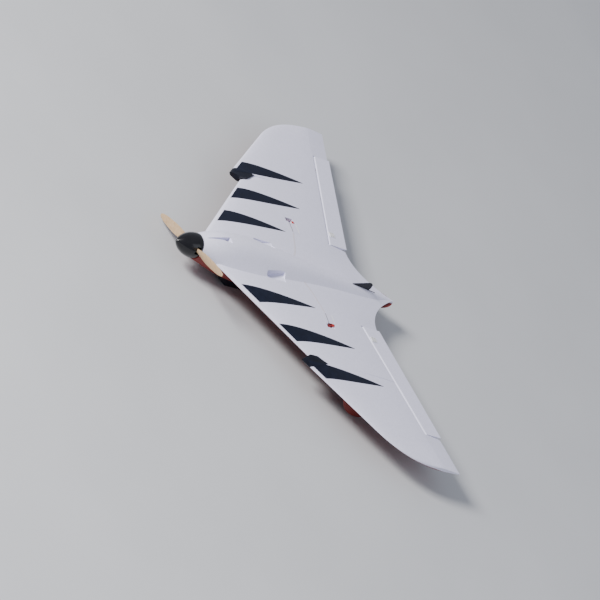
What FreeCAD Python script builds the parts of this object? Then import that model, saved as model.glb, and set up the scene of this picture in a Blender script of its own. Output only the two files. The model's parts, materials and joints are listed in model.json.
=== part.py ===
import FreeCAD, Part
import math
import os
import re
import Sketcher
from FreeCAD import Placement, Rotation, Vector

# Electric radio-controlled flying wing: a swept tailless foam aeroplane with a nose motor.
# Millimetres. +X is the pilot's left wing, the nose points along -Y and +Z is up.
# The origin lies under the middle of the overall length, on the ground that the skids touch.
# A "station" is a distance behind the spinner tip, a "height" is measured from the thrust line.

X_AXIS = Vector(1, 0, 0)
Y_AXIS = Vector(0, 1, 0)
Z_AXIS = Vector(0, 0, 1)

SIZES = (
    # overall
    ("span", 900, "wing tip to wing tip"),
    ("overall_length", 665, "spinner tip to tail tip"),
    ("thrust_height", 54, "propeller axis above the ground"),
    # planform
    ("root_joint", 106, "where a wing panel meets the fuselage"),
    ("le_centre", 56, "station of the leading edge line on the centre line"),
    ("sweep_inner", 45.6, "leading edge sweep inside the dogtooth, degrees"),
    ("sweep_outer", 47.9, "leading edge sweep outside the dogtooth, degrees"),
    ("dogtooth_x", 243, "span position of the dogtooth"),
    ("dogtooth_step", 39, "how far the outer leading edge starts ahead of the inner one"),
    ("tip_round", 65, "span length of the rounded tip"),
    ("tip_rake", 94, "how far the tip sweeps behind the straight leading edge"),
    ("tip_chord", 64, "chord at the very tip"),
    ("te_corner_x", 106, "where the scallop meets the straight trailing edge"),
    ("te_corner_station", 562, "station of that corner"),
    ("scallop_pull_x", 45, "control point of the scallop's curve"),
    # wing section
    ("thickness_centre", 30, "section thickness on the centre line"),
    ("thickness_tip", 8, "section thickness towards the tip"),
    ("tip_thickness_ratio", 0.085, "largest thickness as a share of the chord"),
    ("te_thickness", 1.6, "foam thickness at the trailing edge"),
    ("chord_height", 3, "height of the chord plane above the thrust line"),
    ("upper_share", 0.58, "share of the thickness above the chord plane"),
    ("fold_height", 2.6, "extra height at the fold ahead of the rear wedge"),
    ("fold_share", 0.015, "largest extra height as a share of the chord"),
    ("fold_lead", 6, "fold line ahead of the hinge axis"),
    ("fold_fade", 60, "span position where the fold dies out on the centre section"),
    # nose and motor
    ("spinner_radius", 26.5, "spinner base"),
    ("spinner_length", 50.5, "spinner tip to its base"),
    ("spinner_wall", 1.3, "spinner shell"),
    ("backplate_thickness", 2.5, "spinner back-plate"),
    ("nose_gap", 3.5, "air gap between back-plate and nose ring"),
    ("nose_bore", 21, "radius of the motor bay in the nose"),
    ("firewall_radius", 24, "plywood firewall"),
    ("firewall_station", 93, "front face of the firewall"),
    ("firewall_thickness", 4, "plywood"),
    ("mount_thickness", 2, "aluminium cross mount"),
    ("mount_arm_width", 9, "aluminium cross mount"),
    ("mount_hole_circle", 16, "radius of the screw circle"),
    ("mount_screw_radius", 1.5, "M3"),
    ("bell_radius", 14, "motor bell"),
    ("bell_wall", 1.8, "motor bell with its magnets"),
    ("bell_length", 24, "motor bell"),
    ("bell_cap", 3, "front wall of the bell"),
    ("bell_clearance", 5, "bell rim to stator base, where the wires leave"),
    ("stator_gap", 0.5, "air gap inside the bell"),
    ("shaft_radius", 1.6, "motor shaft"),
    ("shaft_fit", 0.02, "shaft in its bearings"),
    ("prop_radius", 118, "propeller tip circle"),
    ("prop_pitch", 127, "advance per turn"),
    ("prop_hub_radius", 8, "propeller hub"),
    ("prop_hub_length", 9, "propeller hub"),
    ("prop_rest_angle", 22, "blade below the horizontal at rest, degrees"),
    ("stem_radius", 3, "threaded stem of the adapter"),
    ("nut_flats", 8, "across the flats"),
    ("nut_length", 4, "propeller nut"),
    # cabin
    ("bay_half_width", 24, "battery bay"),
    ("bay_front", 104, "station of the bay's front wall"),
    ("bay_rear", 300, "station of the bay's rear wall"),
    ("bay_top", 22, "height of the bay's ceiling"),
    ("bay_floor", -30, "height where the belly floor starts"),
    ("receiver_bay_rear", 356, "station of the receiver bay's end"),
    ("hatch_front", 120, "station of the hatch's hinge edge"),
    ("hatch_rear", 312, "station of the hatch's free edge"),
    ("hatch_gap", 0.4, "clearance round the hatch"),
    ("magnet_radius", 3, "hatch magnets"),
    ("magnet_thickness", 2.5, "hatch magnets"),
    ("tray_thickness", 2.5, "plywood tray"),
    ("battery_length", 105, "three-cell pack"),
    ("battery_width", 34, "three-cell pack"),
    ("battery_height", 25, "three-cell pack"),
    ("battery_front", 190, "station of the pack's front"),
    ("esc_front", 106, "station of the speed controller's front"),
    ("esc_length", 38, "speed controller"),
    ("esc_width", 25, "speed controller"),
    ("esc_height", 9, "speed controller"),
    ("plug_length", 30, "mated battery plug"),
    ("receiver_length", 38, "receiver"),
    ("receiver_width", 21, "receiver"),
    ("receiver_height", 12, "receiver"),
    ("rail_x", 30, "skid rails, distance from the centre line"),
    ("rail_width", 6, "skid rails"),
    ("rail_front", 150, "station where the rails start"),
    ("rail_rear", 330, "station where the rails end"),
    ("rail_ramp", 30, "sloped ends of the rails"),
    # spars and fins
    ("main_spar_station", 368, "carbon tube"),
    ("main_spar_radius", 4, "carbon tube"),
    ("main_spar_reach", 225, "half length"),
    ("rear_spar_station", 466, "carbon tube"),
    ("rear_spar_radius", 2.5, "carbon tube"),
    ("rear_spar_reach", 150, "half length"),
    ("spar_wall", 1, "both tubes"),
    ("dorsal_front", 515, "station of the dorsal fin's front"),
    ("dorsal_rear", 574, "station of the dorsal fin's rear"),
    ("dorsal_top", 35, "height of the dorsal fin's top"),
    ("dorsal_root", 8, "height of its glued edge"),
    ("dorsal_thickness", 2, "moulded plastic"),
    ("ventral_x", 310, "span position of the ventral fins"),
    ("ventral_front", 362, "station of the ventral fins' front"),
    ("ventral_rear", 478, "station of the ventral fins' rear"),
    ("ventral_thickness", 3, "foam plate"),
    ("ventral_depth", 47, "ventral fins below the thrust line"),
    # elevons and controls
    ("elevon_inner", 107, "inner end of an elevon"),
    ("tip_fixed", 83, "fixed wing outboard of an elevon"),
    ("elevon_chord_inner", 57, "hinge axis to trailing edge"),
    ("elevon_chord_outer", 50.5, "hinge axis to trailing edge"),
    ("elevon_side_gap", 1, "gap at each end of an elevon"),
    ("elevon_nose_radius", 2.4, "rounded front of an elevon"),
    ("elevon_bevel", 5, "length of the bevel behind the hinge axis"),
    ("hinge_gap", 0.5, "nose to the fixed wing"),
    ("elevon_reflex", 5.5, "rest angle above the chord plane, degrees"),
    ("hinge_pin_radius", 0.5, "steel pin"),
    ("knuckle_radius", 1.5, "nylon hinge"),
    ("knuckle_length", 4, "nylon hinge"),
    ("knuckle_gap", 0.3, "between knuckles"),
    ("leaf_length", 11, "nylon hinge leaf"),
    ("leaf_thickness", 1, "nylon hinge leaf"),
    ("linkage_x", 137.5, "plane in which the pushrod works"),
    ("servo_station", 387, "station of the servo shaft"),
    ("servo_shaft_height", 6, "height of the servo shaft"),
    ("servo_height", 22.5, "nine gram servo, base to gearbox top"),
    ("servo_length", 23, "nine gram servo"),
    ("servo_width", 12, "nine gram servo"),
    ("servo_shaft_inset", 6, "shaft from the end of the case"),
    ("servo_lug", 4.6, "mounting lugs beyond the case"),
    ("arm_length", 16, "servo arm, and the horn below its hinge axis"),
    ("arm_thickness", 2, "servo arm"),
    ("arm_hub_radius", 3.4, "servo arm"),
    ("pivot_radius", 0.7, "clevis pins"),
    ("rod_radius", 0.9, "pushrod wire"),
    ("horn_thickness", 1.6, "control horn"),
    ("horn_play", 1.8, "side clearance of the clevis on the horn"),
    ("servo_boss", 4, "gearbox boss above the case"),
    ("arm_standoff", 3, "gearbox boss to the plane of the arm"),
    ("shaft_stub", 4.5, "splined shaft inside the boss"),
    ("spline_radius", 2.4, "splined shaft"),
    ("lug_thickness", 2.5, "mounting lugs"),
    ("lug_depth", 7, "boss side of the case to the far face of the lugs"),
    ("clevis_prong", 1.2, "thickness of each prong"),
    ("clevis_length", 9, "prongs and bridge"),
    ("clevis_height", 3.6, "nylon clevis"),
    ("clevis_bridge", 2.5, "length of the bridge that holds the rod"),
    ("clevis_gap", 0.4, "side clearance of the clevis on the servo arm"),
    ("horn_base_front", 6, "hinge axis to the horn's base"),
    ("horn_base_rear", 22, "hinge axis to the end of the base"),
    ("horn_base_half", 6, "half width of the base"),
    ("horn_base_thickness", 1.5, "horn's base under the elevon"),
    ("backplate_cover", 1.2, "horn's back-plate over the elevon"),
    ("horn_screw_radius", 0.9, "self-tapping screws"),
    ("lead_radius", 1.1, "servo lead"),
    ("motor_wire_radius", 1.1, "motor wires"),
    ("motor_wire_height", 17.4, "height at which the motor wires pass the firewall"),
    ("power_wire_radius", 1.7, "battery wires"),
    ("power_wire_x", 4, "battery wires, distance from the centre line"),
    ("strap_width", 20, "battery strap"),
    ("strap_thickness", 1.2, "battery strap"),
    ("tray_margin", 8, "tray ahead of the pack"),
    ("grip_outer", 50.5, "outboard edge of a hand-launch grip"),
    ("grip_inner_front", 36.9, "inboard edge behind its rounded front"),
    ("grip_inner_rear", 28, "inboard edge at its rear"),
    ("grip_radius", 6.8, "rounded front of a grip"),
    ("grip_front", 229, "station of a grip's front wall"),
    ("grip_rear", 287, "station where a grip's floor ends"),
    ("grip_floor", 6, "height of a grip's floor at its front wall"),
    ("grip_slope", 12, "rise of a grip's floor, degrees"),
    ("inlet_front", 64, "station of the inlet's point"),
    ("inlet_rear", 123, "station of the inlet's lip"),
    ("inlet_half_width", 7.5, "half width at the lip"),
    ("ramp_front_height", 29.5, "height of the inlet's ramp at its point"),
    ("ramp_rear_height", 33.5, "height of the inlet's ramp at its lip"),
    ("cap_inboard", 14, "dogtooth cap, inboard of the dogtooth"),
    ("cap_outboard", 13, "dogtooth cap, outboard of the dogtooth"),
    ("cap_length", 66, "dogtooth cap, along the chord"),
    ("cap_skin", 0.9, "dogtooth cap outside the foam"),
    ("running_fit", 0.05, "radial clearance of pins and pivots"),
    ("clearance", 0.3, "general gap between parts that don't touch"),
)

# Fuselage frames: station, half width of the hump, half width of the belly, height above and
# depth below the thrust line, height where the hump's flanks run out, and the flanks' shape
# (0.5 is an ellipse, 2 a bell that runs out level).
FRAME_ALIASES = ("frame_station", "hump_width", "belly_width", "frame_top", "frame_depth",
                 "flank_foot", "flank_shape")
FRAMES = (
    (57, 27, 27, 27, 27, 0, 0.5),
    (72, 31.5, 31.5, 33, 30, 0, 0.5),
    (92, 38, 38, 38.5, 34, 0, 0.5),
    (123, 50, 48, 43, 39, 3, 0.8),
    (165, 62, 56, 44, 42.5, 9, 1.4),
    (215, 66, 59, 42, 44, 13, 1.8),
    (275, 60, 52, 38, 44, 14, 1.9),
    (335, 51, 42, 34, 42.5, 13, 1.9),
    (400, 42, 32, 29, 38, 11.5, 1.9),
    (470, 33, 28, 23.5, 31, 9, 1.8),
    (545, 27, 28, 17.5, 23, 5, 1.6),
    (605, 18, 26, 11, 14.5, 2, 1.2),
)
TAIL_FRAME = (4.5, 4.5, 3.5, 3.5, 0, 0.5)

doc = FreeCAD.newDocument("flying_wing")
sheet = doc.addObject("Spreadsheet::Sheet", "Sheet")
rows = list(SIZES)
for index, frame in enumerate(FRAMES):
    letter = chr(ord("a") + index)
    for alias, value in zip(FRAME_ALIASES, frame):
        rows.append(("%s_%s" % (alias, letter), value, "fuselage frame " + letter))
for alias, value in zip(FRAME_ALIASES[1:], TAIL_FRAME):
    rows.append((alias + "_tail", value, "fuselage frame at the tail tip"))
for row, (alias, value, note) in enumerate(rows, start=1):
    sheet.set("A%d" % row, alias)
    sheet.set("B%d" % row, str(value))
    sheet.set("C%d" % row, note)
    sheet.setAlias("B%d" % row, alias)
doc.recompute()
ALIASES = {alias for alias, value, note in SIZES}
PARTS = {}


def size(alias):
    """The number in the sheet's cell of that name."""
    return float(sheet.get(alias))


def formula(text):
    """The expression with every size's name pointing at its cell."""
    return re.sub(r"[a-z_]+", lambda found: "Sheet." + found[0] if found[0] in ALIASES else found[0],
                  text)


def bind(thing, **properties):
    """Tie properties to formulas of the sheet's sizes."""
    for name, text in properties.items():
        thing.setExpression(name.replace("__", "."), formula(text))
    return thing


def number(text):
    """The value of a formula of the sheet's sizes."""
    return float(sheet.evalExpression(formula(text)))


def place(x, station, height):
    """A point from its distance to the left, its station and its height on the thrust line."""
    return Vector(x, station - size("overall_length") / 2, height + size("thrust_height"))


def put(thing, x, station, height):
    """Bind a sub-part's base point to its place on the aeroplane."""
    thing.setExpression("Placement.Base.x", formula(x))
    thing.setExpression("Placement.Base.y", formula("(%s) - overall_length / 2" % station))
    thing.setExpression("Placement.Base.z", formula("(%s) + thrust_height" % height))
    return thing


def part(thing, label):
    """Name a finished sub-part and list it for export."""
    thing.Label = label
    PARTS[label] = thing
    return thing


def shaped(name, shape):
    """A feature that carries a shape made with Part's own functions."""
    feature = doc.addObject("Part::Feature", name)
    feature.Shape = shape
    return feature


# ---------------------------------------------------------------- primitives and booleans

DIRECTIONS = {
    "X": Rotation(Y_AXIS, 90),
    "Y": Rotation(X_AXIS, -90),
    "Z": Rotation(),
}


def rod(name, radius, length, x, station, height, along="Y"):
    """A cylinder that starts at a place and runs along one axis."""
    solid = doc.addObject("Part::Cylinder", name)
    solid.Placement.Rotation = DIRECTIONS[along]
    bind(solid, Radius=radius, Height=length)
    return put(solid, x, station, height)


def block(name, width, length, height, x, station, low):
    """A box centred on x that starts at a station and a height."""
    solid = doc.addObject("Part::Box", name)
    bind(solid, Length=width, Width=length, Height=height)
    return put(solid, "(%s) - (%s) / 2" % (x, width), station, low)


def cut(name, base, *tools):
    """The base without every tool."""
    result = doc.addObject("Part::Cut", name)
    result.Base = base
    result.Tool = tools[0] if len(tools) == 1 else fuse(name + "_tools", *tools)
    return result


def fuse(name, *pieces):
    """Pieces joined, or kept side by side where they don't touch."""
    result = doc.addObject("Part::MultiFuse", name)
    result.Shapes = list(pieces)
    return result


def common(name, first, second):
    """What two solids share."""
    result = doc.addObject("Part::MultiCommon", name)
    result.Shapes = [first, second]
    return result


def mirrored(source, label):
    """The same piece on the pilot's right."""
    other = doc.addObject("Part::Mirroring", label + "_mirror")
    other.Source = source
    other.Normal = X_AXIS
    return part(other, label)


# ---------------------------------------------------------------- sketched bodies

def sketch_in(body, role, name):
    """A sketch on one of a body's own origin planes."""
    sketch = body.newObject("Sketcher::SketchObject", name)
    plane = [feature for feature in body.Origin.OriginFeatures if feature.Role == role][0]
    sketch.AttachmentSupport = (plane, [""])
    sketch.MapMode = "FlatFace"
    return sketch


def pin_point(sketch, edge, end, across, up):
    """Hold a point of a sketch at two bound distances from the sketch's origin."""
    for kind, text in (("DistanceX", across), ("DistanceY", up)):
        index = sketch.addConstraint(Sketcher.Constraint(kind, -1, 1, edge, end, number(text)))
        sketch.setExpression("Constraints[%d]" % index, formula(text))


def polygon(sketch, corners):
    """A closed outline with every corner bound to formulas."""
    first = sketch.GeometryCount
    count = len(corners)
    spots = [Vector(number(across), number(up), 0) for across, up in corners]
    for i in range(count):
        sketch.addGeometry(Part.LineSegment(spots[i], spots[(i + 1) % count]))
    for i in range(count):
        follower = first + (i + 1) % count
        sketch.addConstraint(Sketcher.Constraint("Coincident", first + i, 2, follower, 1))
    for i, (across, up) in enumerate(corners):
        pin_point(sketch, first + i, 1, across, up)


def circle(sketch, across, up, radius):
    """A circle with its centre and radius bound to formulas."""
    spot = Vector(number(across), number(up), 0)
    edge = sketch.addGeometry(Part.Circle(spot, Z_AXIS, number(radius)))
    pin_point(sketch, edge, 3, across, up)
    index = sketch.addConstraint(Sketcher.Constraint("Radius", edge, number(radius)))
    sketch.setExpression("Constraints[%d]" % index, formula(radius))


def turned(name, corners):
    """A body of revolution round the thrust line; corners are radius and station."""
    body = doc.addObject("PartDesign::Body", name)
    sketch = sketch_in(body, "XY_Plane", name + "_profile")
    polygon(sketch, corners)
    turn = body.newObject("PartDesign::Revolution", name + "_turn")
    turn.Profile = sketch
    turn.ReferenceAxis = (sketch, ["V_Axis"])
    turn.Angle = 360
    return put(body, "0", "0", "0")


def plate(name, role, thickness, outlines, holes=(), symmetric=True):
    """A body padded from polygons and round holes in one of its origin planes."""
    body = doc.addObject("PartDesign::Body", name)
    sketch = sketch_in(body, role, name + "_outline")
    for corners in outlines:
        polygon(sketch, corners)
    for hole in holes:
        circle(sketch, *hole)
    pad = body.newObject("PartDesign::Pad", name + "_pad")
    pad.Profile = sketch
    pad.SideType = "Symmetric" if symmetric else "One side"
    pad.setExpression("Length", formula(thickness))
    return body


def softened(name, length, width, height, radius):
    """A body in the shape of a box with its long edges rounded, along Y."""
    corners = [("-(%s) / 2" % width, "0"), ("(%s) / 2" % width, "0"),
               ("(%s) / 2" % width, height), ("-(%s) / 2" % width, height)]
    body = plate(name, "XZ_Plane", length, [corners])
    doc.recompute()
    pad = body.Tip
    edges = []
    for index, edge in enumerate(pad.Shape.Edges, start=1):
        if abs(abs(edge.tangentAt(edge.FirstParameter).y) - 1) < 1e-6:
            edges.append("Edge%d" % index)
    round_off = body.newObject("PartDesign::Fillet", name + "_edges")
    round_off.Base = (pad, edges)
    round_off.Radius = radius
    return body


# ---------------------------------------------------------------- wing geometry

HALF_SPAN = size("span") / 2
TE_CORNER = (size("te_corner_x"), size("te_corner_station"))
INNER_SLOPE = math.tan(math.radians(size("sweep_inner")))
OUTER_SLOPE = math.tan(math.radians(size("sweep_outer")))
DOGTOOTH_X = size("dogtooth_x")
DOGTOOTH_STATION = size("le_centre") + INNER_SLOPE * DOGTOOTH_X - size("dogtooth_step")
TIP_START = HALF_SPAN - size("tip_round")
TIP_TE = DOGTOOTH_STATION + OUTER_SLOPE * (HALF_SPAN - DOGTOOTH_X)
TIP_TE += size("tip_rake") + size("tip_chord")
TE_SLOPE = (TIP_TE - TE_CORNER[1]) / (HALF_SPAN - TE_CORNER[0])


def inner_edge(x):
    """Station of the leading edge line inside the dogtooth."""
    return size("le_centre") + INNER_SLOPE * x


def outer_edge(x):
    """Station of the leading edge outside the dogtooth, with the parabola of the tip."""
    straight = DOGTOOTH_STATION + OUTER_SLOPE * (x - DOGTOOTH_X)
    if x <= TIP_START:
        return straight
    step = 1 - math.sqrt(max(0, HALF_SPAN - x) / size("tip_round"))
    return straight + size("tip_rake") * step ** 2


def rear_edge(x):
    """Station of the trailing edge: a scallop near the body, then one straight line."""
    if x >= TE_CORNER[0]:
        return TE_CORNER[1] + TE_SLOPE * (x - TE_CORNER[0])
    pull = size("scallop_pull_x")
    a = TE_CORNER[0] - 2 * pull
    b = 2 * (pull - TE_CORNER[0])
    c = TE_CORNER[0] - x
    step = -c / b if abs(a) < 1e-9 else (-b - math.sqrt(b * b - 4 * a * c)) / (2 * a)
    return TE_CORNER[1] + (size("overall_length") - TE_CORNER[1]) * step ** 2


def thickness(x, chord):
    """Section thickness, tapered along the span and limited where the chord is short."""
    taper = size("thickness_centre") - size("thickness_tip")
    tapered = size("thickness_centre") - taper * x / HALF_SPAN
    return min(tapered, size("tip_thickness_ratio") * chord)


ELEVON_INNER = size("elevon_inner")
ELEVON_OUTER = HALF_SPAN - size("tip_fixed")
HINGE_INNER = rear_edge(ELEVON_INNER) - size("elevon_chord_inner")
HINGE_OUTER = rear_edge(ELEVON_OUTER) - size("elevon_chord_outer")
HINGE_SLOPE = (HINGE_OUTER - HINGE_INNER) / (ELEVON_OUTER - ELEVON_INNER)


def hinge_station(x):
    """Station of the hinge axis, or of its line beyond the elevon's ends."""
    return HINGE_INNER + HINGE_SLOPE * (x - ELEVON_INNER)


def fold_share(x, front, rear):
    """Share of the chord at which the upper skin folds down into the rear wedge."""
    return (hinge_station(x) - size("fold_lead") - front) / (rear - front)


def fold_rise(x, chord, c, fold):
    """Extra height of the upper skin, largest at the fold and gone at the trailing edge."""
    fade = (x - size("fold_fade")) / (ELEVON_INNER - size("fold_fade"))
    full = min(size("fold_height"), size("fold_share") * chord) * min(1, max(0, fade))
    if c >= fold:
        return full * (1 - c) / (1 - fold)
    step = max(0, c / fold - 0.3) / 0.7
    return full * step ** 2 * (3 - 2 * step)


def skin_rise(x, front, rear, c, upper):
    """Distance of the skin from the chord plane at a share c of the chord."""
    chord = rear - front
    share = size("upper_share") if upper else 1 - size("upper_share")
    bulge = 10 * (0.2969 * math.sqrt(c) - 0.126 * c - 0.3516 * c ** 2
                  + 0.2843 * c ** 3 - 0.1036 * c ** 4)
    rise = share * thickness(x, chord) * bulge + size("te_thickness") / 2 * c
    return rise + (fold_rise(x, chord, c, fold_share(x, front, rear)) if upper else 0)


def skin_curve(x, front, rear, shares, upper, swell):
    """A smooth stretch of the wing's outline through some shares of the chord."""
    sign = 1 if upper else -1
    points = []
    for c in shares:
        rise = skin_rise(x, front, rear, c, upper) + swell * math.sqrt(c)
        height = size("chord_height") + sign * rise
        points.append(place(x, front + (rear - front) * c, height))
    curve = Part.BSplineCurve()
    curve.interpolate(points)
    return curve.toShape()


def section(x, front, rear, swell=0):
    """The closed outline of the wing at one span position."""
    fold = fold_share(x, front, rear)
    steps = 12
    rear_steps = 4
    waves = [(1 - math.cos(math.pi * i / steps)) / 2 for i in range(steps + 1)]
    quarter = [1 - math.cos(math.pi / 2 * i / steps) for i in range(steps + 1)]
    wedge = [fold + (1 - fold) * i / rear_steps for i in range(rear_steps + 1)]
    top_rear = skin_curve(x, front, rear, wedge[::-1], True, swell)
    top_front = skin_curve(x, front, rear, [fold * q for q in quarter[::-1]], True, swell)
    bottom = skin_curve(x, front, rear, waves, False, swell)
    end = Part.makeLine(bottom.Vertexes[-1].Point, top_rear.Vertexes[0].Point)
    return Part.Wire([top_rear, top_front, bottom, end])


def loft_along(stations, edge, ruled=False, swell=0):
    """A solid lofted through the wing's sections at several span positions."""
    wires = [section(x, edge(x) - swell, rear_edge(x), swell) for x in stations]
    return Part.makeLoft(wires, True, ruled)


def surface_height(x, station, edge, upper=True):
    """Height of the wing's skin above the thrust line at a point of its planform."""
    front, rear = edge(x), rear_edge(x)
    rise = skin_rise(x, front, rear, (station - front) / (rear - front), upper)
    return size("chord_height") + (rise if upper else -rise)


def prism(points, low, high):
    """A vertical prism over a plan outline of (x, station) points."""
    corners = [place(x, station, low) for x, station in points]
    face = Part.Face(Part.makePolygon(corners + corners[:1]))
    return face.extrude(Z_AXIS * (high - low))


def hinge_point(x):
    """A point of the left elevon's hinge axis."""
    return place(x, hinge_station(x), size("chord_height"))


HINGE_START = hinge_point(ELEVON_INNER)
HINGE_LINE = (hinge_point(ELEVON_OUTER) - HINGE_START).normalize()


# ---------------------------------------------------------------- fuselage lofts

OPEN_SKY = 60


def frame_wire(station, half_width, foot, reach, shape):
    """A cross section: a flank curve over the thrust line's plane, or under it if it reaches down."""
    steps = 14
    points = []
    for i in range(steps + 1):
        angle = math.pi * i / steps
        swell = math.sin(angle) ** (2 * shape) if 0 < i < steps else 0
        points.append(place(half_width * math.cos(angle), station, foot + (reach - foot) * swell))
    curve = Part.BSplineCurve()
    curve.interpolate(points)
    sink = 2 * size("clearance") * (-1 if reach > 0 else 1)
    corners = [points[-1], place(-half_width, station, sink), place(half_width, station, sink), points[0]]
    walls = [Part.makeLine(start, end) for start, end in zip(corners, corners[1:])]
    return Part.Wire([curve.toShape()] + walls)


def frame_size(alias, index):
    """A fuselage frame's size; the frame after the last is the tail tip's."""
    letter = chr(ord("a") + index) if index < len(FRAMES) else "tail"
    return size(alias + "_" + letter)


def body_loft(upper):
    """The upper or the lower half of the fuselage."""
    wires = []
    for index in range(len(FRAMES) + 1):
        last = index == len(FRAMES)
        station = size("overall_length") if last else frame_size("frame_station", index)
        if upper:
            wires.append(frame_wire(station, frame_size("hump_width", index),
                                    frame_size("flank_foot", index), frame_size("frame_top", index),
                                    frame_size("flank_shape", index)))
        else:
            wires.append(frame_wire(station, frame_size("belly_width", index), 0,
                                    -frame_size("frame_depth", index), 0.5))
    corner = place(-size("span") / 2, 0, 0 if upper else -OPEN_SKY)
    half_space = Part.makeBox(size("span"), size("overall_length") + OPEN_SKY, OPEN_SKY, corner)
    return Part.makeLoft(wires, True, False).common(half_space)


centre_steps = 7
centre_stations = [size("root_joint") * i / centre_steps for i in range(centre_steps + 1)]
half_slab = loft_along(centre_stations, inner_edge)
slab_shape = half_slab.fuse(half_slab.mirror(Vector(), X_AXIS)).removeSplitter()
slab = shaped("centre_wing", slab_shape)
upper_body = shaped("upper_body", body_loft(True))
lower_body = shaped("lower_body", body_loft(False))


# ---------------------------------------------------------------- spars and servo leads

def tube(name, station, height, radius, reach):
    """A carbon tube across both wings, and the bore it is glued in."""
    start = "-%s" % reach
    bore = rod(name + "_bore", radius, "2 * " + reach, start, station, height, "X")
    hollow = rod(name + "_hollow", radius + " - spar_wall", "2 * " + reach,
                 start, station, height, "X")
    return part(cut(name, bore, hollow), name), bore


main_spar, main_spar_bore = tube("main_spar", "main_spar_station", "chord_height + 1",
                                 "main_spar_radius", "main_spar_reach")
rear_spar, rear_spar_bore = tube("rear_spar", "rear_spar_station", "chord_height + 0.5",
                                 "rear_spar_radius", "rear_spar_reach")


def round_path(points, share=0.45):
    """Straight runs joined by tangent arcs, each as large as its two runs allow, and its radii."""
    edges = []
    radii = []
    start = points[0]
    for before, corner, after in zip(points, points[1:], points[2:]):
        back = (before - corner).normalize()
        ahead = (after - corner).normalize()
        reach = share * min((before - corner).Length, (after - corner).Length)
        enter = corner + back * reach
        leave = corner + ahead * reach
        half_angle = back.getAngle(ahead) / 2
        radius = reach * math.tan(half_angle)
        radii.append(radius)
        middle_way = (back + ahead).normalize()
        middle = corner + middle_way * (radius / math.sin(half_angle) - radius)
        edges.append(Part.makeLine(start, enter))
        edges.append(Part.Arc(enter, middle, leave).toShape())
        start = leave
    edges.append(Part.makeLine(start, points[-1]))
    return Part.Wire(edges), radii


def cable(points, radius):
    """A round cable along a rounded path."""
    path, radii = round_path(points)
    way = (points[1] - points[0]).normalize()
    profile = Part.Wire(Part.makeCircle(radius, points[0], way))
    tube_shape = path.makePipeShell([profile], True, False)
    filled = tube_shape.Volume / (math.pi * radius ** 2 * path.Length)
    print("cable, radii", [round(bend, 1) for bend in radii], "volume ratio %.3f" % filled)
    return tube_shape


gear_face = size("linkage_x") - size("arm_standoff")
case_top = gear_face - size("servo_boss")
case_inner = case_top - size("servo_height")
lead_route = [
    place(case_inner, 394, 9),
    place(case_inner - 20, 394, 9),
    place(60, 382, 12.5),
    place(36, 367, 13),
    place(24, 346, 10),
    place(size("receiver_width") / 2, 346, 10),
]
servo_lead_left = part(shaped("servo_lead", cable(lead_route, size("lead_radius"))),
                       "servo_lead_left")
mirrored(servo_lead_left, "servo_lead_right")
lead_tunnel = cable(lead_route, size("lead_radius") + size("clearance"))
lead_tunnels = shaped("lead_tunnels", lead_tunnel.fuse(lead_tunnel.mirror(Vector(), X_AXIS)))


# ---------------------------------------------------------------- hand-launch grips, air inlet


def above_slope(x, width, front, front_height, rear, rear_height):
    """Everything above a sloping floor between two stations."""
    outline = [(front, front_height), (rear, rear_height), (rear, OPEN_SKY), (front, OPEN_SKY)]
    corners = [place(x - width / 2, station, height) for station, height in outline]
    return Part.Face(Part.makePolygon(corners + corners[:1])).extrude(X_AXIS * width)


def grip_tool():
    """A scoop that widens back from a rounded front, with a floor rising to its rear edge."""
    radius, front, rear = size("grip_radius"), size("grip_front"), size("grip_rear")
    inner_front, inner_rear = size("grip_inner_front"), size("grip_inner_rear")
    outer, floor = size("grip_outer"), size("grip_floor")
    centre = front + radius
    middle = outer - radius
    disc = Part.makeCylinder(radius, OPEN_SKY, place(middle, centre, 0))
    tail = prism([(inner_front, centre), (outer, centre), (outer, rear), (inner_rear, rear)],
                 0, OPEN_SKY)
    rise = math.tan(math.radians(size("grip_slope"))) * (rear - front)
    slope = above_slope(middle, 4 * radius, front, floor, rear, floor + rise)
    return disc.fuse(tail).common(slope)


left_grip = grip_tool()
grips = shaped("grips", left_grip.fuse(left_grip.mirror(Vector(), X_AXIS)))


def inlet_tool():
    """A flush inlet: a ramp that widens from a point and ends in a square lip over a throat."""
    front, rear, half = size("inlet_front"), size("inlet_rear"), size("inlet_half_width")
    waist_station = front + 0.55 * (rear - front)
    waist = 0.36 * half
    point = 0.08 * half
    plan = prism([(point, front), (waist, waist_station), (half, rear),
                  (-half, rear), (-waist, waist_station), (-point, front)], 0, OPEN_SKY)
    ramp_front, ramp_rear = size("ramp_front_height"), size("ramp_rear_height")
    above_ramp = above_slope(0, 4 * half, front, ramp_front, rear, ramp_rear)
    throat_half = half - 1
    throat_front = rear - 10
    throat = prism([(-throat_half, throat_front), (throat_half, throat_front),
                    (throat_half, rear - 0.5), (-throat_half, rear - 0.5)],
                   size("bay_top") - 7, ramp_rear + 2)
    return plan.common(above_ramp).fuse(throat)


inlet = shaped("inlet", inlet_tool())

# ---------------------------------------------------------------- fins

dorsal = plate("dorsal_fin_body", "YZ_Plane", "dorsal_thickness", [[
    ("dorsal_front", "dorsal_root"), ("dorsal_rear", "dorsal_root"),
    ("dorsal_rear", "dorsal_top - 12"), ("dorsal_rear - 4", "dorsal_top - 2.5"),
    ("dorsal_rear - 9", "dorsal_top"), ("dorsal_rear - 15", "dorsal_top"),
    ("dorsal_front", "dorsal_top - 16.5")]])
part(put(dorsal, "0", "0", "0"), "dorsal_fin")


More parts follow.
